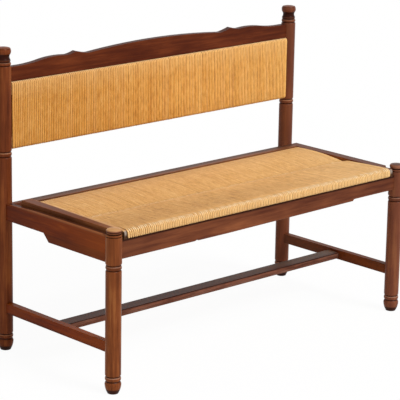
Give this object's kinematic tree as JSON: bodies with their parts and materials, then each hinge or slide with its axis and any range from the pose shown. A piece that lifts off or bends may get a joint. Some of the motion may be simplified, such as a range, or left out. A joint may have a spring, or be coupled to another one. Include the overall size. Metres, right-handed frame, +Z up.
{
  "type": "rush seat bench",
  "caption": "Bench with turned wooden posts, a woven rush seat in a loose frame, a rush back panel under a shaped crest rail, and an H of stretchers.",
  "frame": {"origin": "on the floor, in the middle of the four posts", "axes": "+Z up, X along the bench's length, -Y towards the front"},
  "size_m": [1.198, 0.5319, 0.903],
  "materials": {
    "stained_wood": "satin lacquer over a red brown stain",
    "plain_wood": "planed, bare",
    "dowel_wood": "turned, bare",
    "screw_steel": "zinc plated",
    "seat_rush": "dry twisted rush cord",
    "back_rush": "dry twisted rush cord"
  },
  "bodies": {
    "root": {"front_apron": "stained_wood", "back_apron": "stained_wood", "left_apron": "stained_wood", "right_apron": "stained_wood", "crest_rail": "stained_wood", "long_stretcher": "stained_wood", "seat_back_strip": "stained_wood", "front_post_left": "stained_wood", "front_post_right": "stained_wood", "back_post_left": "stained_wood", "back_post_right": "stained_wood", "left_stretcher": "stained_wood", "right_stretcher": "stained_wood", "seat_stile_left": "stained_wood", "seat_stile_right": "stained_wood", "back_panel_top_rail": "plain_wood", "back_panel_bottom_rail": "plain_wood", "seat_front_rail": "plain_wood", "seat_rear_rail": "plain_wood", "seat_ledger_left": "plain_wood", "seat_ledger_right": "plain_wood", "apron_dowels": "dowel_wood", "crest_dowels": "dowel_wood", "seat_frame_dowels": "dowel_wood", "ledger_screws": "screw_steel", "seat_screws": "screw_steel", "seat_rush": "seat_rush", "back_rush": "back_rush"}
  },
  "joints": []
}
